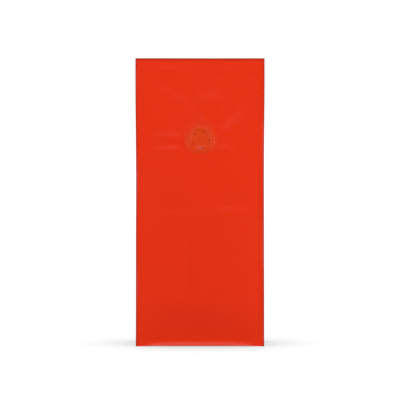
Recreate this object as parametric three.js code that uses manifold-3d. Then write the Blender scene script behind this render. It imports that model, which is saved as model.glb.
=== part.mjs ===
// A quad seal coffee bag, filled, closed and standing: a film pouch with a welded fin on each of its four
// corners, side gussets that fold in towards a flat mouth, and a round degassing valve in the front panel.
// Millimetres, +Z up. The front panel faces -Y, and the origin is under the middle of the bag.

import * as THREE from "three";
import { mergeVertices } from "three/addons/utils/BufferGeometryUtils.js";
import Module from "manifold-3d";

const { clamp, lerp, smoothstep } = THREE.MathUtils;

// The pouch
const bagHeight = 225.5;
const bagDepth = 60; // between the front seams and the back seams, where the bag is full
const panelWidth = 90; // between the two corner seams of a panel
const finWidth = 5; // of every welded edge
const finThickness = 0.6;
const filmRed = 0xe43216;

// The panels
const frontCrown = 2.8; // how far a full panel swells past its seams
const backCrown = 1.7;
const backSeamWidth = 8; // the film's lengthwise seam, laid flat down the back panel
const backSeamHeight = 0.5;
const crownTop = 120; // above this height the panels flatten towards the mouth
const crownBottom = 50;

// The front panel leans back a little, nearly straight
const leanStart = 30;
const leanPower = 1.15;
const frontLean = 12; // at the top edge

// The back panel closes against it above the contents
const taperStart = 115;
const taperPower = 1.3;
const mouthHeight = 214.5; // where the front and the back meet
const mouthDepth = 2.4;
const mouthSpread = 0.8; // each fin tip stands this much further out there
const mouthSealThickness = 1.2;
const mouthSealStart = 2.5; // the two films come together over this height

// The side gussets
const gussetHalf = bagDepth / 2 + 0.2; // film from a corner seam to the fold line
const gussetLobe = 2.2; // each half swells this far between its seam and the fold line
const gussetFoldStart = 40; // below this height the fold line is pushed out flat

// The bottom
const bottomSeam = 5.3; // height of the weld along the bottom edge of the front and back
const bottomInset = 0.2; // the bottom panel lies this far inside the welds
const bottomCorner = 3;
const bottomArch = 0.8; // the bottom fins rise between the corners
const bottomFlick = 2.2; // and turn outwards there
const bottomBowPower = 4; // most of it right beside the corners
const weldStep = 0.1; // a weld line steps in this far

// The degassing valve
const valveHeight = 161.3;
const valveOffset = 0.7; // to the right of the middle
const valveRadius = 11.75;
const valveDishRadius = 7.8;
const valveProud = 0.9; // the flange stands this far out of the panel
const valveSunk = 0.5;
const valveClearance = 0.3;
const valveSides = 48;

// How finely the curved film is divided
const panelSteps = 14;
const gussetSteps = 5; // for each half
const finSteps = 16;
const bodyLevels = 24;
const bodyCrowding = 1.6; // the levels lie closer together towards the mouth
const bottomLevels = 5;
const overlap = 1; // a joined piece reaches this far into the pouch

const wasm = await Module();
wasm.setup();

// Closed geometry through rings of points, turning left as seen from the far end of the loft.
// flat() lays a ring's point out in the ring's own plane, for the two end caps.
function loft(rings, flat) {
  const count = rings[0].length;
  const index = [];
  for (let ring = 0; ring + 1 < rings.length; ring++) {
    for (let side = 0; side < count; side++) {
      const next = (side + 1) % count;
      const near = ring * count;
      const far = near + count;
      index.push(near + side, near + next, far + next, near + side, far + next, far + side);
    }
  }
  const lastRing = (rings.length - 1) * count;
  for (const [a, b, c] of THREE.ShapeUtils.triangulateShape(rings[0].map(flat), [])) index.push(a, c, b);
  for (const [a, b, c] of THREE.ShapeUtils.triangulateShape(rings.at(-1).map(flat), [])) {
    index.push(lastRing + a, lastRing + b, lastRing + c);
  }
  const geometry = new THREE.BufferGeometry().setFromPoints(rings.flat());
  geometry.setIndex(index);
  return geometry;
}

const fromAbove = (point) => new THREE.Vector2(point.x, point.y);
const fromTheRight = (point) => new THREE.Vector2(point.y, point.z);

function solidFrom(geometry) {
  const bare = geometry.clone();
  bare.deleteAttribute("normal");
  bare.deleteAttribute("uv");
  const merged = mergeVertices(bare, 1e-4);
  return new wasm.Manifold(new wasm.Mesh({
    numProp: 3,
    vertProperties: merged.attributes.position.array,
    triVerts: new Uint32Array(merged.index.array),
  }));
}

function geometryFrom(solid) {
  const mesh = solid.getMesh();
  const geometry = new THREE.BufferGeometry();
  geometry.setAttribute("position", new THREE.BufferAttribute(mesh.vertProperties, 3));
  geometry.setIndex(new THREE.BufferAttribute(mesh.triVerts, 1));
  geometry.computeVertexNormals();
  return geometry;
}

// The pouch's form, level by level

// 0 where the bag is full, 1 where the front and the back meet
const closing = (z) => smoothstep(z, taperStart, mouthHeight) ** taperPower;

function frontSeam(z) {
  return -bagDepth / 2 + frontLean * clamp((z - leanStart) / (bagHeight - leanStart), 0, 1) ** leanPower;
}

const backSeam = (z) => lerp(bagDepth / 2, frontSeam(z) + mouthDepth, closing(z));
const middle = (z) => (frontSeam(z) + backSeam(z)) / 2;
const halfDepth = (z) => (backSeam(z) - frontSeam(z)) / 2;
const seamReach = (z) => panelWidth / 2 + mouthSpread * closing(z);
const swelling = (z) => smoothstep(z, bottomSeam, crownBottom) * (1 - smoothstep(z, crownTop, mouthHeight));

function panelCrown(x, z) {
  return swelling(z) * (1 - (x / seamReach(z)) ** 2);
}

const frontY = (x, z) => frontSeam(z) - frontCrown * panelCrown(x, z);
const backY = (x, z) => backSeam(z) + backCrown * panelCrown(x, z);

// The gusset's film keeps its width, so it folds in as the bag gets thinner.
function foldDepth(z) {
  return smoothstep(z, bottomSeam, gussetFoldStart) * Math.sqrt(gussetHalf ** 2 - halfDepth(z) ** 2);
}

// From the front corner seam round to the back one, on the right side
function gussetPoints(z) {
  const rootY = halfDepth(z) - finThickness;
  const fold = foldDepth(z);
  const length = Math.hypot(fold, rootY);
  const lobe = gussetLobe * smoothstep(z, bottomSeam, gussetFoldStart) * (1 - closing(z));
  const frontHalf = [];
  for (let step = 0; step < gussetSteps; step++) {
    const share = step / gussetSteps;
    const swell = lobe * Math.sin(Math.PI * share);
    frontHalf.push([
      seamReach(z) - fold * share + (swell * rootY) / length,
      -rootY * (1 - share) + (swell * fold) / length,
    ]);
  }
  const backHalf = frontHalf.map(([x, y]) => [x, -y]).reverse();
  return [...frontHalf, [seamReach(z) - fold, 0], ...backHalf];
}

// One level of the pouch, from the front left fin tip round to the back left one and home again
function bodyRing(z) {
  const seam = seamReach(z);
  const tip = seam + finWidth;
  const gusset = gussetPoints(z);
  const finBack = gusset[0][1];
  const across = Array.from({ length: panelSteps + 1 }, (_, step) => seam * ((2 * step) / panelSteps - 1));
  const seamEdge = backSeamWidth / 2;
  const ring = [[-tip, frontY(seam, z)]];
  for (const x of across) ring.push([x, frontY(x, z)]);
  ring.push([tip, frontY(seam, z)], [tip, middle(z) + finBack]);
  for (const [x, y] of gusset) ring.push([x, middle(z) + y]);
  ring.push([tip, middle(z) - finBack], [tip, backY(seam, z)]);
  for (const x of across.toReversed().filter((x) => x > seamEdge)) ring.push([x, backY(x, z)]);
  for (const side of [1, -1]) {
    const foot = [side * seamEdge, backY(seamEdge, z)];
    const top = [side * seamEdge, backY(seamEdge, z) + backSeamHeight];
    ring.push(...(side > 0 ? [foot, top] : [top, foot]));
  }
  for (const x of across.toReversed().filter((x) => x < -seamEdge)) ring.push([x, backY(x, z)]);
  ring.push([-tip, backY(seam, z)], [-tip, middle(z) - finBack]);
  for (const [x, y] of gusset.toReversed()) ring.push([-x, middle(z) + y]);
  ring.push([-tip, middle(z) + finBack]);
  return ring.map(([x, y]) => new THREE.Vector3(x, y, z));
}

function pouch() {
  const rings = Array.from({ length: bodyLevels + 1 }, (_, level) => {
    const share = 1 - (1 - level / bodyLevels) ** bodyCrowding;
    return bodyRing(lerp(bottomSeam, mouthHeight, share));
  });
  return solidFrom(loft(rings, fromAbove));
}

// The flat mouth, where the front, the folded gussets and the back are one thin slab
function mouthSeal() {
  const edge = seamReach(mouthHeight) + finWidth - weldStep;
  const seamEdge = backSeamWidth / 2;
  const levels = [
    [mouthHeight - overlap / 2, mouthDepth - 2 * weldStep],
    [mouthHeight + mouthSealStart, mouthSealThickness],
    [bagHeight, mouthSealThickness],
  ];
  const rings = levels.map(([z, depth]) => [
    [-edge, 0], [edge, 0], [edge, depth],
    [seamEdge, depth], [seamEdge, depth + backSeamHeight], [-seamEdge, depth + backSeamHeight], [-seamEdge, depth],
    [-edge, depth],
  ].map(([x, y]) => new THREE.Vector3(x, frontSeam(z) + weldStep + y, z)));
  return solidFrom(loft(rings, fromAbove));
}

// The bottom panel, pushed down by the contents between the bottom fins: a shallow tray with a flat underside
function bottomPanel() {
  const rings = Array.from({ length: bottomLevels + 2 }, (_, level) => {
    const turned = (Math.min(level / bottomLevels, 1) * Math.PI) / 2;
    const z = level > bottomLevels ? bottomSeam + overlap : bottomSeam * (1 - Math.cos(turned));
    const inset = bottomInset + bottomSeam * (1 - Math.sin(turned));
    const halfX = panelWidth / 2 - inset;
    const halfY = bagDepth / 2 - finThickness - inset;
    const corner = bottomCorner + inset;
    const outline = new THREE.Shape();
    outline.absarc(halfX - corner, -halfY + corner, corner, -Math.PI / 2, 0);
    outline.absarc(halfX - corner, halfY - corner, corner, 0, Math.PI / 2);
    outline.absarc(-halfX + corner, halfY - corner, corner, Math.PI / 2, Math.PI);
    outline.absarc(-halfX + corner, -halfY + corner, corner, Math.PI, Math.PI * 1.5);
    return outline.getPoints(4).map((point) => new THREE.Vector3(point.x, point.y, z));
  });
  return solidFrom(loft(rings, fromAbove));
}

// The weld along the front's bottom edge: its lower edge arches and turns outwards between the corners.
function bottomFin() {
  const halfWidth = panelWidth / 2 + finWidth - weldStep / 2;
  const top = bottomSeam + overlap;
  const down = [1, 0.7, 0.45, 0.2, 0]; // shares of the fin's height, from its root
  const rings = [];
  for (let step = 0; step <= finSteps; step++) {
    const x = halfWidth * ((2 * step) / finSteps - 1);
    const bow = 1 - (x / halfWidth) ** bottomBowPower;
    const lowerEdge = bottomArch * bow;
    const outer = -bagDepth / 2 + weldStep;
    const inner = outer + finThickness - 2 * weldStep;
    const place = (share, y) => new THREE.Vector3(
      x,
      y - bottomFlick * bow * (1 - share) ** 2,
      lerp(lowerEdge, top, share),
    );
    rings.push([
      ...down.map((share) => place(share, outer)),
      ...down.toReversed().map((share) => place(share, inner)),
    ]);
  }
  return solidFrom(loft(rings, fromTheRight));
}

// The valve sits in a round seat that is square to the front panel.
function valveSeat() {
  const x = valveOffset;
  const z = valveHeight;
  const small = 0.5; // to either side, to find the panel's slope
  const acrossPanel = new THREE.Vector3(2 * small, frontY(x + small, z) - frontY(x - small, z), 0);
  const upPanel = new THREE.Vector3(0, frontY(x, z + small) - frontY(x, z - small), 2 * small);
  const outwards = acrossPanel.cross(upPanel).normalize();
  const seat = new THREE.Group();
  seat.position.set(x, frontY(x, z), z);
  seat.quaternion.setFromUnitVectors(new THREE.Vector3(0, 1, 0), outwards);
  seat.updateMatrixWorld(true);
  return seat;
}

function valvePocket(seat) {
  const depth = valveSunk + valveClearance;
  const height = depth + 5;
  const cutter = new THREE.CylinderGeometry(
    valveRadius + valveClearance, valveRadius + valveClearance, height, valveSides,
  );
  cutter.translate(0, height / 2 - depth, 0);
  cutter.applyMatrix4(seat.matrixWorld);
  return solidFrom(cutter);
}

function bag(seat) {
  const frontFin = bottomFin();
  const backFin = frontFin.rotate([0, 0, 180]);
  const closed = pouch().add(mouthSeal()).add(bottomPanel()).add(frontFin).add(backFin);
  const whole = closed.subtract(valvePocket(seat));
  const film = new THREE.MeshStandardMaterial({ color: filmRed, roughness: 0.45, metalness: 0 });
  const mesh = new THREE.Mesh(geometryFrom(whole), film);
  mesh.name = "bag";
  return mesh;
}

// A low disc with a rounded flange and a dished middle, turned about its own axis
function valve() {
  const edge = valveRadius;
  const dish = valveDishRadius;
  const profile = [
    [0, -valveSunk], [edge - 0.2, -valveSunk], [edge, -valveSunk + 0.2],
    [edge, valveProud * 0.3], [edge - 0.25, valveProud * 0.7], [edge - 0.8, valveProud * 0.95],
    [edge - 1.5, valveProud], [dish + 0.8, valveProud], [dish + 0.2, valveProud * 0.85],
    [dish - 0.5, valveProud * 0.55], [dish - 1.6, valveProud * 0.1], [dish * 0.65, -0.15], [dish * 0.35, -0.2],
    [0, -0.22],
  ].map(([radius, along]) => new THREE.Vector2(radius, along));
  const plastic = new THREE.MeshStandardMaterial({ color: filmRed, roughness: 0.35, metalness: 0 });
  const mesh = new THREE.Mesh(new THREE.LatheGeometry(profile, valveSides), plastic);
  mesh.name = "valve";
  return mesh;
}

const seat = valveSeat();
seat.add(valve());

const coffeeBag = new THREE.Group();
coffeeBag.add(bag(seat), seat);

export default coffeeBag;
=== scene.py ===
from math import atan, pi, radians

import bmesh
import bpy
import numpy as np
from mathutils import Matrix, Vector


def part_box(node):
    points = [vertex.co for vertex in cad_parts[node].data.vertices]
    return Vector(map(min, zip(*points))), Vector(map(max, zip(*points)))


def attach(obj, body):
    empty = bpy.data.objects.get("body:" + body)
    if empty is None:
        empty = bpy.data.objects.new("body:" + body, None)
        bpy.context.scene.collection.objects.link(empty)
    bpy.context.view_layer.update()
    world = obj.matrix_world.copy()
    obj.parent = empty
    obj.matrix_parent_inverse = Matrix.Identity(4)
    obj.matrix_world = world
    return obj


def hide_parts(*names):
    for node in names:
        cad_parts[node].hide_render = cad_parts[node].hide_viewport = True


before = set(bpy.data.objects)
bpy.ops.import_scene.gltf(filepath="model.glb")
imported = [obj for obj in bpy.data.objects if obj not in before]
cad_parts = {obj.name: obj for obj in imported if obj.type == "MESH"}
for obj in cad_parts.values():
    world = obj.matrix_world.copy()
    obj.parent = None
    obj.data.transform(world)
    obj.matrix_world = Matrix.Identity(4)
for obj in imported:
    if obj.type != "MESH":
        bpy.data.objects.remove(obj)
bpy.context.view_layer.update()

mm = 0.001  # every size below is in millimetres, unless its note says otherwise
hair = 0.01  # places closer together than this count as one
bagLow, bagHigh = [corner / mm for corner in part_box("bag")]

# The photograph, in pixels: the columns of the front's two edges, the row of its base and the middle row
photo = {
    "size": 400,
    "leftEdge": 135.2,
    "rightEdge": 263.6,
    "baseRow": 345.95,
    "middle": 199.5,
}


def showStage(words):
    print("coffee bag:", words)


def startAlone(piece=None):
    if bpy.context.mode != "OBJECT":
        bpy.ops.object.mode_set(mode="OBJECT")
    bpy.ops.object.select_all(action="DESELECT")
    if piece:
        piece.select_set(True)
        bpy.context.view_layer.objects.active = piece


def editMesh(piece):
    startAlone(piece)
    bpy.ops.object.mode_set(mode="EDIT")


def pick(piece, kind, test):  # in edit mode: selects the faces or edges that pass the test, nothing else
    bpy.ops.mesh.select_mode(type=kind)
    bpy.ops.mesh.select_all(action="DESELECT")
    net = bmesh.from_edit_mesh(piece.data)
    net.normal_update()
    if kind == "FACE":
        for face in net.faces:
            face.select_set(bool(test(face.calc_center_median() / mm, face.normal)))
    else:
        for edge in net.edges:
            start, end = [corner.co / mm for corner in edge.verts]
            edge.select_set(bool(test((start + end) / 2, (end - start).normalized())))
    bmesh.update_edit_mesh(piece.data)


def pull(x=0.0, y=0.0, z=0.0):  # extrudes what is selected
    bpy.ops.mesh.extrude_region_move(TRANSFORM_OT_translate={"value": (x * mm, y * mm, z * mm)})


def points(piece):  # every vertex, in millimetres
    flat = np.empty(len(piece.data.vertices) * 3)
    piece.data.vertices.foreach_get("co", flat)
    return flat.reshape(-1, 3) / mm


def setPoints(piece, places):
    piece.data.vertices.foreach_set("co", (np.asarray(places) * mm).ravel())
    piece.data.update()


def paint(piece, name, values):  # one number for each vertex, for the materials
    layer = piece.data.attributes.new(name, "FLOAT", "POINT")
    layer.data.foreach_set("value", np.asarray(values, dtype=np.float32))


def smoothstep(x, low, high):
    share = np.clip((x - low) / (high - low), 0, 1)
    return share * share * (3 - 2 * share)


def lerp(low, high, share):
    return low + (high - low) * share


def linear(code):  # an sRGB hex colour as the linear numbers that Blender works in
    parts = [int(code[place:place + 2], 16) / 255 for place in (1, 3, 5)]
    return [part / 12.92 if part <= 0.04045 else ((part + 0.055) / 1.055) ** 2.4 for part in parts] + [1.0]


def addNode(tree, kind, settings=None, links=None):
    # settings whose name is a socket go on that socket, the others on the node
    # links is {socket's name or number: the output that feeds it}
    node = tree.nodes.new(kind)
    for name, value in (settings or {}).items():
        if name in node.inputs:
            node.inputs[name].default_value = value
        else:
            setattr(node, name, value)
    for name, output in (links or {}).items():
        tree.links.new(output, node.inputs[name])
    return node


def newMaterial(name):
    material = bpy.data.materials.new(name)
    material.use_nodes = True
    material.node_tree.nodes.clear()
    return material, material.node_tree


# Printed packing film, a laminate of PET and PE: an even orange-red ink under a matt varnish. It is smooth
# and only half matt, so it gives soft, dim reflections, and the thin film is faintly uneven all over.
filmLook = {
    "ink": "#E32C02",
    "edgeShadeInk": "#9C1A04",  # painted shade: darker right at the cut edges, where the film curls away from the light, and along the long upright crease
    "valveSheenInk": "#D83A05",  # painted sheen: duller and more orange where the film is drawn tight over the valve
    "roughness": 0.4,
    "roughnessChange": 0.03,  # up and down, with the unevenness
    "reflection": 0.26,
    "unevenness": 9,  # from one swell of the film to the next
    "unevenHeight": 0.02,
    "ribPitch": 1.6,  # real seal ribs are about 1 mm apart: drawn coarser, so that they show
    "ribHeight": 0.012,
}


def laminate(name, look):
    material, tree = newMaterial(name)
    place = addNode(tree, "ShaderNodeTexCoord").outputs["Object"]
    weld, edge, tight_sheen = [
        addNode(tree, "ShaderNodeAttribute", {"attribute_name": painted}).outputs["Fac"]
        for painted in ("weld", "edge", "tight_sheen")]
    swells = addNode(tree, "ShaderNodeTexNoise", {
        "Scale": 1 / (look["unevenness"] * mm), "Detail": 3.0, "Roughness": 0.45}, {"Vector": place})
    ribs = addNode(tree, "ShaderNodeTexWave", {
        "wave_type": "BANDS", "bands_direction": "Z", "wave_profile": "SIN",
        "Scale": pi / 10 / (look["ribPitch"] * mm)},  # at a scale of 1 the bands are pi / 10 apart
        {"Vector": place})
    # painted sheen: over the valve the ink turns duller and more orange
    plain = addNode(tree, "ShaderNodeMixRGB", {
        "Color1": linear(look["ink"]), "Color2": linear(look["valveSheenInk"])}, {"Fac": tight_sheen})
    # painted shade: darker ink at the cut edges, along the crease and round the pinholes
    ink = addNode(tree, "ShaderNodeMixRGB", {"Color2": linear(look["edgeShadeInk"])}, {
        "Color1": plain.outputs[0], "Fac": edge})
    ribHeight = addNode(tree, "ShaderNodeMath", {"operation": "MULTIPLY"}, {0: ribs.outputs["Fac"], 1: weld})
    bumpSwells = addNode(tree, "ShaderNodeBump", {
        "Strength": 1.0, "Distance": look["unevenHeight"] * mm}, {"Height": swells.outputs["Fac"]})
    bumpRibs = addNode(tree, "ShaderNodeBump", {"Strength": 1.0, "Distance": look["ribHeight"] * mm}, {
        "Height": ribHeight.outputs[0], "Normal": bumpSwells.outputs["Normal"]})
    gloss = addNode(tree, "ShaderNodeMapRange", {
        "To Min": look["roughness"] - look["roughnessChange"],
        "To Max": look["roughness"] + look["roughnessChange"]}, {"Value": swells.outputs["Fac"]})
    shader = addNode(tree, "ShaderNodeBsdfPrincipled", {"Specular IOR Level": look["reflection"]}, {
        "Base Color": ink.outputs[0], "Roughness": gloss.outputs[0], "Normal": bumpRibs.outputs["Normal"]})
    addNode(tree, "ShaderNodeOutputMaterial", links={"Surface": shader.outputs["BSDF"]})
    return material


# The laminate's cut edge: the pale PE layer shows beside the ink
edgeLook = {
    "colour": "#B9402B",
    "toneChange": 0.15,  # lighter and darker from grain to grain
    "grain": 10 / 9,
    "roughness": 0.5,
}


def cutEdge():
    material, tree = newMaterial("cut_laminate_edge")
    change = edgeLook["toneChange"]
    place = addNode(tree, "ShaderNodeTexCoord").outputs["Object"]
    grain = addNode(tree, "ShaderNodeTexNoise", {"Scale": 1 / (edgeLook["grain"] * mm)}, {"Vector": place})
    value = addNode(tree, "ShaderNodeMapRange", {"To Min": 1 - change, "To Max": 1 + change}, {
        "Value": grain.outputs["Fac"]})
    tone = addNode(tree, "ShaderNodeHueSaturation", {"Color": linear(edgeLook["colour"])}, {
        "Value": value.outputs[0]})
    shader = addNode(tree, "ShaderNodeBsdfPrincipled", {"Roughness": edgeLook["roughness"]}, {
        "Base Color": tone.outputs["Color"]})
    addNode(tree, "ShaderNodeOutputMaterial", links={"Surface": shader.outputs["BSDF"]})
    return material


# The bag's form is the solid's, apart from crownBottom, and its welds, waves and seams are added to it
bag = {
    "height": bagHigh.z,
    "depth": 60,  # between the front seams and the back seams
    "panelWidth": 90,
    "finWidth": 5,
    "finThickness": 0.6,
    "frontCrown": 2.8,  # how far a full panel swells past its seams
    "backCrown": 1.7,
    "crownBottom": 36,  # the panels are full from here up, where the solid's are full from 50
    "crownTop": 120,  # above it they flatten towards the mouth
    "leanStart": 30,
    "leanPower": 1.15,
    "frontLean": 12,  # at the top edge
    "taperStart": 115,  # above it the back closes against the front
    "taperPower": 1.3,
    "mouthHeight": 214.5,
    "mouthDepth": 2.4,
    "mouthSpread": 0.8,  # the flat mouth is that much wider on each side
    "sealDepth": 1.2,  # of the flat mouth above it
    "sealSoftness": 4,
    "mouthWave": (0.4, 23, 0.6),  # height, length and start of its waves from side to side
    "gussetHalf": 30.2,  # half the width of a gusset's film
    "gussetLobe": 2.2,  # how far each half swells
    "gussetFoldStart": 40,
    "foldGap": 0.1,  # between the gusset's two halves where they lie flat in the mouth
    "finWave": (0.35, 13.0, 2.0),  # height, length and shift from side to side of the fins' waves
    "tipTurn": 0.5,  # the tips of the fins turn in this far, from tipStart outwards
    "tipStart": 3.0,
    "weldGroove": (0.1, 0.9),  # depth and width of the groove that a weld leaves along the seam
    "weldBead": (0.07, 2.2, 1.1),  # height, place on the fin and width of the bead outside it
    "finRibs": (0.2, 1.0),  # the welds' ribs come in over these distances past the corner seams,
    "mouthRibs": (1, 3),  # above the mouth's seam
    "bottomRibs": 1,  # and below the bottom one
    "edgeShadeReach": 0.8,  # how far in from the cut edges the painted shade reaches
    "creaseShade": 0.08,  # painted shade: the ink is a little darker along the long upright crease
    "creaseShadeWidth": 1.5,
    "creaseShadeRoute": [(-7.6, 93.0), (-7.4, 60.0), (-7.0, 32.0)],
    "backSeamWidth": 8,
    "backSeamHeight": 0.5,
    "backSeamEdge": (-0.1, 0.9),  # it slopes off between these, past half its width
    "bottomSeam": 5.3,
    "bottomArch": 0.8,
    "bottomFlick": 2.2,  # the bottom fins turn outwards this far
    "bottomBowPower": 4,
    "smoothAngle": 38,  # degrees
    # how finely the film is divided
    "columns": 96,
    "rows": 212,
    "gussetColumns": 26,
    "columnCrowding": 0.25,  # the columns lie closer together beside the seams
    "finSteps": [0.5, 0.7, 1.2, 1.1, 0.8, 0.45, 0.25],
    "bottomFinSteps": [0.6, 0.9, 1.2, 1.3, 1.3],
}


def closing(z):  # 0 where the bag is full, 1 where the front and the back meet
    return smoothstep(z, bag["taperStart"], bag["mouthHeight"]) ** bag["taperPower"]


def sealing(z):  # 0 below the mouth, 1 where the films lie flat together
    return smoothstep(z, bag["mouthHeight"] - bag["sealSoftness"], bag["mouthHeight"] + bag["sealSoftness"])


def frontSeam(z):
    up = np.clip((z - bag["leanStart"]) / (bag["height"] - bag["leanStart"]), 0, 1)
    return -bag["depth"] / 2 + bag["frontLean"] * up ** bag["leanPower"]


def backSeam(z):
    gap = lerp(bag["mouthDepth"], bag["sealDepth"], sealing(z))
    return lerp(bag["depth"] / 2, frontSeam(z) + gap, closing(z))


def middleY(z):
    return (frontSeam(z) + backSeam(z)) / 2


def halfDepth(z):
    return (backSeam(z) - frontSeam(z)) / 2


def seamReach(z):
    return bag["panelWidth"] / 2 + bag["mouthSpread"] * closing(z)


def swelling(z):
    full = smoothstep(z, bag["bottomSeam"], bag["crownBottom"])
    return full * (1 - smoothstep(z, bag["crownTop"], bag["mouthHeight"]))


def panelCrown(x, z):
    return swelling(z) * np.clip(1 - (x / seamReach(z)) ** 2, 0, 1)


def frontY(x, z):
    return frontSeam(z) - bag["frontCrown"] * panelCrown(x, z)


def backY(x, z):
    return backSeam(z) + bag["backCrown"] * panelCrown(x, z)


def foldDepth(z):  # the gusset's film keeps its width, so it folds in as the bag gets thinner
    across = np.minimum(halfDepth(z), bag["gussetHalf"])
    reach = np.sqrt(np.maximum(bag["gussetHalf"] ** 2 - across ** 2, 0))
    return smoothstep(z, bag["bottomSeam"], bag["gussetFoldStart"]) * reach


def alongRoute(x, z, route):
    # how far each point is from the route, positive on its left, and how far along it the nearest place is,
    # from 0 to 1
    route = np.array(route, dtype=float)
    lengths = np.hypot(*(route[1:] - route[:-1]).T)
    best = np.full(np.shape(x), np.inf)
    side = np.zeros(np.shape(x))
    share = np.zeros(np.shape(x))
    gone = 0.0
    for start, end, length in zip(route[:-1], route[1:], lengths):
        dx, dz = (end - start) / length
        reach = np.clip((x - start[0]) * dx + (z - start[1]) * dz, 0, length)
        offX, offZ = x - start[0] - reach * dx, z - start[1] - reach * dz
        distance = np.hypot(offX, offZ)
        nearer = distance < best
        best = np.where(nearer, distance, best)
        side = np.where(nearer, np.sign(dx * offZ - dz * offX) * distance, side)
        share = np.where(nearer, (gone + reach) / lengths.sum(), share)
        gone += length
    return side, share


def crease(x, z, route, width, height, endWidth=None, fadeIn=0.25, fadeOut=0.4):
    # a soft ridge along a route, or a valley where the height is below 0, that fades at both ends
    away, share = alongRoute(x, z, route)
    broad = lerp(width, endWidth if endWidth else width, share)
    fade = smoothstep(share, 0, fadeIn) * (1 - smoothstep(share, 1 - fadeOut, 1))
    return height * fade * np.exp(-(away / broad) ** 2)


def ledge(x, z, route, width, height, reach, fade=0.3):
    # over a soft step the film is higher on the right of the route than on its left; both even out again
    away, share = alongRoute(x, z, route)
    shown = smoothstep(share, 0, fade) * (1 - smoothstep(share, 1 - fade, 1))
    return -height * shown * np.tanh(away / width) * np.exp(-(away / reach) ** 2)


def ripples(x, z, seed, height, shortest, longest, count=9):
    # the film's slight unevenness, from a few long waves in all directions
    draw = np.random.default_rng(seed)
    total = np.zeros(np.shape(x))
    for _ in range(count):
        length = draw.uniform(shortest, longest)
        turn = draw.uniform(0, pi)
        phase = draw.uniform(0, 2 * pi)
        total = total + np.sin(2 * pi * (x * np.cos(turn) + z * np.sin(turn)) / length + phase)
    return height * total / np.sqrt(count)


# The film's relief. Each fold is a crease or a ledge along a route of places: across the panel, and up from
# the floor. On a gusset, across runs from -30 at the front seam to 30 at the back one.
folds = {
    "frontRipples": dict(seed=3, height=0.08, shortest=28, longest=80),
    "front": [
        # from the valve to the top corners
        (crease, [(12.0, 171.5), (21.0, 177.5), (28.0, 185.5), (38.0, 199.0)],
         dict(width=4.4, height=-0.85, endWidth=5.4, fadeIn=0.4, fadeOut=0.3)),
        (crease, [(13.2, 166.0), (22.5, 168.5), (32.0, 174.0), (46.0, 178.0)],
         dict(width=2.6, height=0.28, endWidth=5.0, fadeIn=0.2, fadeOut=0.2)),
        (ledge, [(-40.0, 206.5), (-26.0, 201.0), (-19.0, 195.5), (-11.5, 191.5), (-8.0, 180.0)],
         dict(width=3.8, height=0.42, reach=9.0)),
        # short level ones on both sides of it
        (crease, [(-12.0, 162.6), (-42.0, 163.4)], dict(width=2.2, height=0.9)),
        (crease, [(-12.0, 153.0), (-42.0, 152.4)], dict(width=2.2, height=0.95)),
        (crease, [(12.0, 153.2), (29.0, 152.4)], dict(width=2.2, height=0.7)),
        # half-way down, where the bag had been folded over for packing
        (ledge, [(8.0, 107.0), (27.0, 107.5), (44.0, 107.0)], dict(width=3.0, height=0.8, reach=8.0)),
        (ledge, [(-40.0, 106.0), (-22.0, 104.5), (-6.0, 105.5)], dict(width=3.0, height=0.55, reach=8.0)),
        # the long upright crease and the fold line above the base
        (crease, [(-7.2, 92.0), (-7.0, 60.0), (-6.5, 32.0)],
         dict(width=2.2, height=-0.4, fadeIn=0.3, fadeOut=0.1)),
        (ledge, [(-46.0, 30.0), (-20.0, 29.0), (-8.0, 34.0), (2.0, 48.0), (14.0, 42.0), (46.0, 30.0)],
         dict(width=2.2, height=-0.22, reach=7.0)),
        # near the flat mouth
        (crease, [(8.0, 208.2), (27.0, 208.6)], dict(width=1.8, height=0.35)),
        (crease, [(-6.0, 190.0), (8.0, 189.0), (24.0, 192.0)], dict(width=9.0, height=0.8)),
        (crease, [(-36.0, 214.5), (-23.0, 215.5), (-4.0, 212.0)], dict(width=3.5, height=0.5)),
        (crease, [(12.0, 215.0), (34.0, 215.5)], dict(width=3.0, height=0.4)),
        (crease, [(47.0, 216.0), (38.0, 211.0), (29.0, 207.0)], dict(width=2.4, height=-0.35)),
        (crease, [(-4.0, 212.0), (4.0, 212.0)], dict(width=2.5, height=-0.3)),
    ],
    "backRipples": dict(seed=11, height=0.14, shortest=24, longest=70),
    "back": [
        (crease, [(12.0, 168.0), (26.0, 186.0), (40.0, 208.0)],
         dict(width=3.5, height=-1.0, endWidth=6.0)),
        (crease, [(-10.0, 160.0), (-24.0, 182.0), (-41.0, 206.0)],
         dict(width=4.0, height=-1.1, endWidth=6.0)),
        (ledge, [(-44.0, 106.0), (0.0, 107.5), (44.0, 106.0)], dict(width=2.4, height=0.4, reach=8.0)),
        (ledge, [(-46.0, 30.0), (0.0, 33.0), (46.0, 30.0)], dict(width=2.0, height=0.3, reach=7.0)),
        (crease, [(10.5, 196.0), (9.5, 120.0), (10.0, 40.0)], dict(width=2.6, height=-0.3)),
    ],
    "seamFade": 6,  # the panels' relief ends over this width beside the corner seams
    "bottomFade": 12,  # and below this height
    "gussetRipples": dict(height=0.16, shortest=18, longest=60),
    "gussetSeeds": (21, 34),  # right and left
    # the bottom was folded up against the sides, which leaves a peaked crease
    "gusset": [
        (crease, [(-29.0, bag["bottomSeam"]), (0.0, 35.0), (29.0, bag["bottomSeam"])],
         dict(width=1.6, height=-0.45, fadeIn=0.05, fadeOut=0.05)),
    ],
    # where the fold line starts to close the film puckers: towards which seam, and from what height
    "puckers": [(-1, 120.0), (1, 128.0), (-1, 150.0), (1, 160.0)],
    "puckerRoute": [(0.0, 0.0), (13.0, 14.0), (24.0, 34.0)],
    "pucker": dict(width=2.2, height=0.7, endWidth=4.5),
    "gussetBottomFade": 6,  # above the bottom seam
    "gussetTopFade": (185, 214),
}

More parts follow.
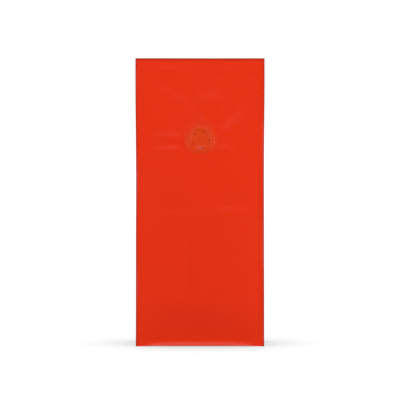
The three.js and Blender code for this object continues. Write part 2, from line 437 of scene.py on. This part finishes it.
valve = {
    "x": 0.7,
    "z": 161.3,
    "radius": 11.75,
    "sides": 48,
    "subdivisions": 2,
    "smoothAngle": 35,  # degrees
    # its section, from the foot of the rim to the middle of the dish: radius and height over the film
    "section": [(11.75, -0.5), (11.7, 0.0), (11.4, 0.3), (11.0, 0.5), (10.5, 0.7), (9.8, 0.89), (9.0, 1.02),
                (8.4, 1.04), (8.0, 0.95), (7.7, 0.5), (7.0, 0.24), (6.0, -0.04), (5.0, -0.3), (4.0, -0.52),
                (2.6, -0.78), (1.0, -0.85)],
    "rim": 8.4,
    "sideSag": 0.5,  # the dish is that much shallower on its left and right
    "rise": 1.05,  # the film over its flange stands this far out, and slopes off between the two radii
    "riseStart": 8.2,
    "riseEnd": 14.5,
    "peakReach": 11,  # above the valve it slopes off this much further up, in a point
    "peakWidth": 3.4,
    "peakStart": (2, 10),  # heights over the valve's middle between which the point comes in
    "peakRise": 0.9,  # the share by which it stands out further, from the two radii outwards
    "peakRiseStart": (10.5, 14.5),
    "dive": 1.8,  # under the flange the film dives this deep, out of the way
    "diveEdge": (2.5, 1.4),  # and comes up again between these distances inside the disc's edge
    # the film is pricked over the dish with a pin that tapers, which leaves holes about 1 mm across
    "holes": 5,
    "holeCircle": 6.7,
    "firstHole": 67,  # degrees
    "holeShade": (0.25, 0.7),  # painted shade round a hole, fading out between these radii
    "pinSides": 20,
    "pinTip": 0.12,
    "pinTop": 0.8,
    "pinLength": 2.0,
    "pinHeight": 0.32,
}


def fromValve(x, z):
    return np.hypot(x - valve["x"], z - valve["z"])


def stretching(x, z):  # 1 where the film is drawn tight over the valve, 0 away from it
    return 1 - smoothstep(fromValve(x, z), valve["riseStart"], valve["riseEnd"])


def valveRise(x, z):
    # the film rises to the valve's flange all round, and runs up from its top in a pointed fold
    away = fromValve(x, z)
    peak = np.exp(-((x - valve["x"]) / valve["peakWidth"]) ** 2)
    peak = peak * smoothstep(z - valve["z"], *valve["peakStart"])
    height = valve["rise"] * (1 + valve["peakRise"] * peak * smoothstep(away, *valve["peakRiseStart"]))
    return height * (1 - smoothstep(away, valve["riseStart"], valve["riseEnd"] + valve["peakReach"] * peak))


def addFolds(relief, x, z, chosen):
    for fold, route, sizes in chosen:
        relief = relief + fold(x, z, route, **sizes)
    return relief


def fadeAtSeams(relief, x, z):
    seam = seamReach(z)
    relief = relief * (1 - smoothstep(np.abs(x), seam - folds["seamFade"], seam))
    return relief * smoothstep(z, bag["bottomSeam"], folds["bottomFade"])


def frontRelief(x, z):  # in millimetres over the film, as all relief is
    relief = ripples(x, z, **folds["frontRipples"]) + valveRise(x, z)
    relief = fadeAtSeams(addFolds(relief, x, z, folds["front"]), x, z)
    start, end = [valve["radius"] - inside for inside in valve["diveEdge"]]
    return lerp(-valve["dive"], relief, smoothstep(fromValve(x, z), start, end))


def backRelief(x, z):
    relief = ripples(x, z, **folds["backRipples"])
    relief = fadeAtSeams(addFolds(relief, x, z, folds["back"]), x, z)
    # the film's lengthwise seam lies flat down the middle
    start, end = [bag["backSeamWidth"] / 2 + past for past in bag["backSeamEdge"]]
    strip = 1 - smoothstep(np.abs(x), start, end)
    return relief + bag["backSeamHeight"] * strip * (1 - sealing(z))


def gussetRelief(across, z, seed):
    relief = ripples(across, z, seed, **folds["gussetRipples"])
    relief = addFolds(relief, across, z, folds["gusset"])
    for slant, start in folds["puckers"]:
        route = [(slant * out, start + up) for out, up in folds["puckerRoute"]]
        relief = relief + crease(across, z, route, **folds["pucker"])
    foot = bag["bottomSeam"]
    relief = relief * smoothstep(z, foot, foot + folds["gussetBottomFade"])
    return relief * (1 - smoothstep(z, *folds["gussetTopFade"]))


def filmBlock():  # a block with the film's net of columns and rows, fins pulled out of its corners
    low, high = bag["bottomSeam"], bag["height"]
    halfWidth, halfDeep = bag["panelWidth"] / 2, bag["depth"] / 2
    outer = halfDeep - bag["depth"] / bag["gussetColumns"]  # the fins grow from the strips past this
    straight = 0.9  # an edge or a normal runs along an axis when its share of it is larger than this
    startAlone()
    bpy.ops.mesh.primitive_cube_add(
        size=mm, location=(0, 0, (low + high) / 2 * mm), scale=(2 * halfWidth, 2 * halfDeep, high - low))
    piece = bpy.context.active_object
    piece.name = "bag_film"
    bpy.ops.object.transform_apply(location=True, rotation=True, scale=True)
    editMesh(piece)
    pick(piece, "EDGE", lambda place, way: abs(way.x) > straight)
    bpy.ops.mesh.subdivide(number_cuts=bag["columns"] - 1)
    pick(piece, "FACE", lambda place, normal: normal.z > straight)
    bpy.ops.mesh.dissolve_faces()
    pick(piece, "EDGE", lambda place, way: abs(way.z) > straight)
    bpy.ops.mesh.subdivide(number_cuts=bag["rows"] - 1)
    pick(piece, "EDGE", lambda place, way: abs(way.y) > straight)
    bpy.ops.mesh.subdivide(number_cuts=bag["gussetColumns"] - 1)
    for side in (-1, 1):
        pick(piece, "FACE", lambda place, normal: normal.x * side > straight and abs(place.y) > outer)
        for width in bag["finSteps"]:
            pull(x=side * width)
    pick(piece, "FACE", lambda place, normal: normal.z < -straight and abs(place.y) > outer)
    for width in bag["bottomFinSteps"]:
        pull(z=-width)
    startAlone(piece)
    return piece


def readNet(piece):  # where each point of the block lies in the film
    x, y, z = points(piece).T
    half, seam, last = bag["panelWidth"] / 2, bag["bottomSeam"], bag["gussetColumns"]
    row = np.rint((y + bag["depth"] / 2) / (bag["depth"] / last))
    beyond = np.abs(x) - half
    beyond = np.where(beyond > hair, beyond, 0)
    between = (row > 0) & (row < last)
    return {
        "x": x,
        "z": z,
        "side": np.sign(x),
        "backHalf": row >= last / 2,
        "front": row == 0,  # the outer film of the front and of its fins
        "back": row == last,
        "frontInner": (row == 1) & (beyond > 0),  # the inner film of the fins
        "backInner": (row == last - 1) & (beyond > 0),
        "beyond": beyond,  # how far out on a fin
        "share": np.clip((row - 1) / (last - 2), 0, 1),  # from a gusset's front seam to its back one
        "gusset": between & (beyond == 0) & (np.abs(x) > half - hair),
        "under": between & (np.abs(x) < half - hair) & (z <= seam + hair),
        "hanging": z < seam - hair,  # on the bottom fins
    }


def placeFaces(net, x, z, root):  # the front, the back and the inner film of their fins
    beyond = net["beyond"]
    height, length, shift = bag["finWave"]
    finWave = (height * np.sin(z / length + shift * net["side"])
               * smoothstep(beyond, 0, bag["finWidth"]) * (1 - sealing(z)))
    tipTurn = bag["tipTurn"] * smoothstep(beyond, bag["tipStart"], bag["finWidth"])
    depth, width = bag["weldGroove"]
    weld = -depth * np.exp(-((np.abs(x) - seamReach(z)) / width) ** 2)
    height, place, width = bag["weldBead"]
    weld = weld + height * np.exp(-((beyond - place) / width) ** 2) * (beyond > 0)
    onPanel = np.clip(x, -seamReach(z), seamReach(z))
    return {
        "front": frontY(onPanel, z) - frontRelief(x, z) * (beyond == 0) - weld + tipTurn + finWave,
        "back": backY(onPanel, z) + backRelief(x, z) * (beyond == 0) + weld - tipTurn + finWave,
        "frontInner": middleY(z) - root + finWave + tipTurn,
        "backInner": middleY(z) + root + finWave - tipTurn,
    }


def placeGussets(net, z, root):  # each half swells between its seam and the fold line
    share = net["share"]
    inward = 1 - np.abs(2 * share - 1)  # 0 at the seams, 1 on the fold line
    fold = foldDepth(z)
    length = np.hypot(fold, root)
    swell = (bag["gussetLobe"] * smoothstep(z, bag["bottomSeam"], bag["gussetFoldStart"])
             * (1 - closing(z)) * np.sin(pi * inward))
    across = (2 * share - 1) * (bag["depth"] / 2)
    right, left = [gussetRelief(across, z, seed) for seed in folds["gussetSeeds"]]
    swell = swell + np.where(net["side"] > 0, right, left) * np.sin(pi * share) ** 0.5
    x = net["side"] * (seamReach(z) - fold * inward + swell * root / length)
    outward = root * (1 - inward) - swell * fold / length
    outward = np.maximum(outward, bag["foldGap"] / 2 * (inward < 1))
    return x, middleY(z) + np.where(share < 0.5, -1, 1) * outward * (inward < 1)


def placeBottom(net, x, root):
    # the contents push the bottom panel down to the floor, round at its edge and flat in the middle
    radius = bag["bottomSeam"]
    y = (2 * net["share"] - 1) * root
    nearX = np.clip(1 - (bag["panelWidth"] / 2 - np.abs(x)) / radius, 0, 1)
    nearY = np.clip(1 - (root - np.abs(y)) / radius, 0, 1)
    drop = radius * np.sqrt(1 - np.clip(np.hypot(nearX, nearY), 0, 1) ** 2)
    return y, bag["bottomSeam"] - drop


def placeBottomFins(net, x, root):  # they arch and turn outwards between the corners
    share = np.clip(net["z"] / bag["bottomSeam"], 0, 1)  # 0 at the cut edge, 1 at the seam
    bow = 1 - (x / (bag["panelWidth"] / 2 + bag["finWidth"])) ** bag["bottomBowPower"]
    flick = bag["bottomFlick"] * bow * (1 - share) ** 2
    outer = np.where(net["front"] | net["back"], bag["depth"] / 2, root)
    y = np.where(net["backHalf"], 1, -1) * (outer + flick)
    return y, lerp(bag["bottomArch"] * bow, bag["bottomSeam"], share)


def paintFilm(piece, net, x, z):  # how welded the film is, and where its material paints shade and sheen
    mouthStart, mouthEnd = [bag["mouthHeight"] + above for above in bag["mouthRibs"]]
    welded = np.maximum.reduce([
        smoothstep(net["beyond"], *bag["finRibs"]),
        smoothstep(net["z"], mouthStart, mouthEnd),
        1 - smoothstep(net["z"], bag["bottomSeam"] - bag["bottomRibs"], bag["bottomSeam"])])
    paint(piece, "weld", np.where(net["under"], 0, welded))
    # painted shade: the ink darkens towards the cut edges
    fromEdge = np.minimum(bag["finWidth"] - net["beyond"], bag["height"] - net["z"])
    # painted shade along the upright crease, on the outer front film only
    creaseShading = bag["creaseShade"] * net["front"] * crease(x, z, bag["creaseShadeRoute"], bag["creaseShadeWidth"], 1.0)
    paint(piece, "edge", np.exp(-fromEdge / bag["edgeShadeReach"]) + creaseShading)
    # painted sheen over the valve
    paint(piece, "tight_sheen", stretching(x, z) * net["front"])


def formFilm(piece):  # moves every point of the block to its place on the filled bag
    net = readNet(piece)
    z = np.maximum(net["z"], bag["bottomSeam"])
    inPanel = np.clip(np.abs(net["x"]) / (bag["panelWidth"] / 2), 0, 1)
    crowded = inPanel * (1 + bag["columnCrowding"] * (1 - inPanel ** 2))
    x = net["side"] * (seamReach(z) * crowded + net["beyond"])
    thick = lerp(bag["finThickness"], bag["sealDepth"] / 2 - bag["foldGap"] / 2, sealing(z))
    root = halfDepth(z) - thick  # the gusset's film starts this far from the middle
    height, length, start = bag["mouthWave"]
    mouthWave = height * np.sin(x / length + start) * closing(z) ** 2

    faces = placeFaces(net, x, z, root)
    gussetX, gussetY = placeGussets(net, z, root)
    y = np.select([net[name] for name in faces], list(faces.values()), gussetY) + mouthWave
    x = np.where(net["gusset"], gussetX, x)

    bottomRoot = bag["depth"] / 2 - bag["finThickness"]
    for name, place in (("under", placeBottom), ("hanging", placeBottomFins)):
        newY, newZ = place(net, x, bottomRoot)
        y = np.where(net[name], newY, y)
        z = np.where(net[name], newZ, z)
    setPoints(piece, np.stack([x, y, z], 1))
    paintFilm(piece, net, x, z)


def finishFilm(piece):
    editMesh(piece)
    bpy.ops.mesh.select_all(action="SELECT")
    bpy.ops.mesh.normals_make_consistent(inside=False)
    startAlone(piece)
    bpy.ops.object.shade_smooth_by_angle(angle=radians(bag["smoothAngle"]))
    piece.data.materials.append(laminate("printed_laminate_film", filmLook))
    piece.data.materials.append(cutEdge())
    top = bag["height"] - hair
    for face in piece.data.polygons:
        if face.center.z / mm > top:
            face.material_index = 1  # the cut edge


def makeFilm():
    showStage("film")
    piece = filmBlock()
    formFilm(piece)
    finishFilm(piece)
    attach(piece, "root")
    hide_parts("bag")
    return piece


# The valve is moulded PE under the same varnished film, which is a little rougher where it is drawn over it
# and has finer unevenness there. Round the pinholes its ink gets painted shade, lighter than the painted
# shade at the film's cut edges
valveLook = {
    **filmLook,
    # painted shade round the pinholes
    "edgeShadeInk": "#BC2806",
    "roughness": 0.42,
    "unevenness": 2.5,
    "unevenHeight": 0.012,
}


def valveBlank():  # its section pulled up ring by ring, then rounded
    startAlone()
    (radius, height), *rest = valve["section"]
    bpy.ops.mesh.primitive_circle_add(
        vertices=valve["sides"], radius=radius * mm, fill_type="NGON", location=(0, 0, height * mm))
    piece = bpy.context.active_object
    piece.name = "valve_disc"
    bpy.ops.object.transform_apply(location=True, rotation=True, scale=True)
    editMesh(piece)
    bpy.ops.mesh.select_all(action="SELECT")
    for nextRadius, nextHeight in rest:
        pull(z=nextHeight - height)
        share = nextRadius / radius
        bpy.ops.transform.resize(value=(share, share, 1), center_override=(0, 0, 0))
        radius, height = nextRadius, nextHeight
    bpy.ops.mesh.select_all(action="SELECT")
    bpy.ops.mesh.normals_make_consistent(inside=False)
    startAlone(piece)
    rounding = piece.modifiers.new("round", "SUBSURF")
    rounding.levels = valve["subdivisions"]
    rounding.render_levels = valve["subdivisions"]
    bpy.ops.object.modifier_apply(modifier="round")
    return piece


def followFilm(piece):  # the disc gets its oval dish, and meets the film round it in one surface
    across, up, height = points(piece).T
    level = valve["rise"]
    out = np.maximum(np.hypot(across, up), hair)
    sideways = lerp(0.5, (across / out) ** 2, smoothstep(out, 0, valve["rim"] / 2))
    sag = (height - level) * np.where(out < valve["rim"], 1 - valve["sideSag"] * sideways, 1)
    onX, onZ = across + valve["x"], up + valve["z"]
    height = level + sag + valveRise(onX, onZ) - level * stretching(onX, onZ)
    setPoints(piece, np.stack([across, up, height], 1))


def prick(piece, x, y):
    startAlone()
    bpy.ops.mesh.primitive_cone_add(
        vertices=valve["pinSides"], radius1=valve["pinTip"] * mm, radius2=valve["pinTop"] * mm,
        depth=valve["pinLength"] * mm, location=(x * mm, y * mm, valve["pinHeight"] * mm))
    pin = bpy.context.active_object
    startAlone(piece)
    cut = piece.modifiers.new("prick", "BOOLEAN")
    cut.operation = "DIFFERENCE"
    cut.object = pin
    bpy.ops.object.modifier_apply(modifier="prick")
    bpy.data.objects.remove(pin)


def placeOnFront(piece):  # from lying on the floor to its place and slope on the front panel
    x, z = valve["x"], valve["z"]
    step = 0.05  # up and down from the middle, to read the slope
    slope = (frontY(x, z + step) - frontY(x, z - step)) / (2 * step)
    turnUp = Matrix.Rotation(pi / 2 - atan(slope), 4, "X")
    place = Vector((x, float(frontY(x, z)), z)) * mm
    piece.data.transform(Matrix.Translation(place) @ turnUp)


def makeValve():
    showStage("valve")
    piece = valveBlank()
    followFilm(piece)
    first, count = radians(valve["firstHole"]), valve["holes"]
    turns = [first + 2 * pi * number / count for number in range(count)]
    holes = [(valve["holeCircle"] * np.cos(turn), valve["holeCircle"] * np.sin(turn)) for turn in turns]
    for x, y in holes:
        prick(piece, x, y)
    across, up, _ = points(piece).T
    nearest = np.min([np.hypot(across - x, up - y) for x, y in holes], 0)
    # painted shade round each pinhole
    paint(piece, "edge", 1 - smoothstep(nearest, *valve["holeShade"]))
    # painted sheen, the same as on the film round it
    paint(piece, "tight_sheen", stretching(across + valve["x"], up + valve["z"]))
    placeOnFront(piece)
    bpy.ops.object.shade_smooth_by_angle(angle=radians(valve["smoothAngle"]))
    piece.data.materials.append(laminate("film_over_moulded_valve", valveLook))
    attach(piece, "root")
    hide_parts("valve")
    return piece


studio = {
    "distance": 1300,  # camera to the front of the bag
    "sensor": 36,
    "clipEnd": 20,  # metres
    "floorRadius": 6000,
    "floorSides": 96,
    "floorGlow": 0.43,  # the bag stands on a white table that glows as if lit from below and from all round; this much of its glow is even everywhere
    # this much more glow away from the bag, taken away in its painted soft shadow
    "floorLight": 0.62,
    "shadeReach": 85,  # the bag's painted soft shadow ends this far from it
    "shadeLean": 0.05,  # and is weaker in front, where most light comes from
    "shadeSamples": 16,
    "floorShare": 0.33,  # of the table's light that reaches the bag
    "floorFade": 0.1,  # least of it right beside the bag
    "white": 1.1,  # how bright the air looks behind the bag
    "air": 0.083,  # and how much light it gives
    # the softboxes: place, width and height in metres, and power; all but the top one stand on both sides
    "aim": (0, 0, 0.11),
    "topBox": ((0, -0.9, 1.3), 0.9, 0.6, 8.2),
    "frontBox": ((1.3, -0.55, 0.16), 0.7, 0.3, 14.9),
    "backBox": ((1.0, 0.9, 0.5), 0.6, 1.0, 11.0),
    "rightShare": 1.15,  # the front one on the right is that much stronger
}


def lightTable():
    # frosted white acrylic, lit from under it: it glows even white, with a painted soft shadow where an
    # occlusion test finds something near it
    material, tree = newMaterial("frosted_acrylic_table")
    lean = addNode(tree, "ShaderNodeCombineXYZ", {"X": 0.0, "Y": -studio["shadeLean"], "Z": 1.0})
    towards = addNode(tree, "ShaderNodeVectorMath", {"operation": "NORMALIZE"}, {0: lean.outputs[0]})
    shade = addNode(tree, "ShaderNodeAmbientOcclusion", {
        "samples": studio["shadeSamples"], "Distance": studio["shadeReach"] * mm}, {
        "Normal": towards.outputs[0]})
    # painted shadow: the glow drops where the occlusion test is low
    glow = addNode(tree, "ShaderNodeMapRange", {
        "To Min": studio["floorGlow"], "To Max": studio["floorGlow"] + studio["floorLight"]},
        {"Value": shade.outputs["AO"]})
    seen = addNode(tree, "ShaderNodeLightPath").outputs["Is Camera Ray"]
    bounce = addNode(tree, "ShaderNodeMapRange", {
        "To Min": studio["floorShare"] * studio["floorFade"], "To Max": studio["floorShare"]},
        {"Value": shade.outputs["AO"]})
    share = addNode(tree, "ShaderNodeMapRange", {"To Max": 1.0}, {"Value": seen, "To Min": bounce.outputs[0]})
    strength = addNode(tree, "ShaderNodeMath", {"operation": "MULTIPLY"}, {
        0: glow.outputs[0], 1: share.outputs[0]})
    light = addNode(tree, "ShaderNodeEmission", {"Color": (1, 1, 1, 1)}, {"Strength": strength.outputs[0]})
    addNode(tree, "ShaderNodeOutputMaterial", links={"Surface": light.outputs[0]})
    return material


def fillAir():  # white behind the bag, and a little light from all round
    world = bpy.data.worlds.new("studio_air")
    bpy.context.scene.world = world
    world.use_nodes = True
    tree = world.node_tree
    tree.nodes.clear()
    seen = addNode(tree, "ShaderNodeLightPath").outputs["Is Camera Ray"]
    strength = addNode(tree, "ShaderNodeMapRange", {
        "To Min": studio["air"], "To Max": studio["white"]}, {"Value": seen})
    air = addNode(tree, "ShaderNodeBackground", {"Color": (1, 1, 1, 1)}, {"Strength": strength.outputs[0]})
    addNode(tree, "ShaderNodeOutputWorld", links={"Surface": air.outputs[0]})


def addSoftbox(name, box, side=1, share=1.0):
    (x, y, z), width, height, power = box
    place = (side * x, y, z)
    bpy.ops.object.light_add(type="AREA", location=place)
    light = bpy.context.active_object
    light.name = name
    light.data.shape = "RECTANGLE"
    light.data.size, light.data.size_y = width, height
    light.data.energy = power * share
    light.rotation_euler = (Vector(studio["aim"]) - Vector(place)).to_track_quat("-Z", "Y").to_euler()


def makeStudio():
    showStage("studio")
    view = bpy.context.scene.view_settings
    view.view_transform = "Standard"
    view.look = "None"
    startAlone()
    bpy.ops.mesh.primitive_circle_add(
        vertices=studio["floorSides"], radius=studio["floorRadius"] * mm, fill_type="NGON")
    floor = bpy.context.active_object
    floor.name = "studio_table"
    floor.data.materials.append(lightTable())
    fillAir()
    addSoftbox("top_softbox", studio["topBox"])
    for side, share in ((-1, 1.0), (1, studio["rightShare"])):
        addSoftbox("front_softbox", studio["frontBox"], side, share)
        addSoftbox("back_softbox", studio["backBox"], side)


def makeCamera():
    showStage("camera")
    frontWidth = bagHigh.x - bagLow.x - 2 * bag["mouthSpread"]
    scale = frontWidth / (photo["rightEdge"] - photo["leftEdge"])  # millimetres in a pixel
    away = studio["distance"]
    height = (photo["baseRow"] - photo["middle"]) * scale
    bpy.ops.object.camera_add(
        location=(0, -(bag["depth"] / 2 + away) * mm, height * mm), rotation=(pi / 2, 0, 0))
    camera = bpy.context.active_object
    camera.data.sensor_width = studio["sensor"]
    camera.data.lens = studio["sensor"] * away / (photo["size"] * scale)
    camera.data.clip_end = studio["clipEnd"]
    bpy.context.scene.camera = camera


makeCamera()
makeStudio()
makeFilm()
makeValve()

showStage("sizes")
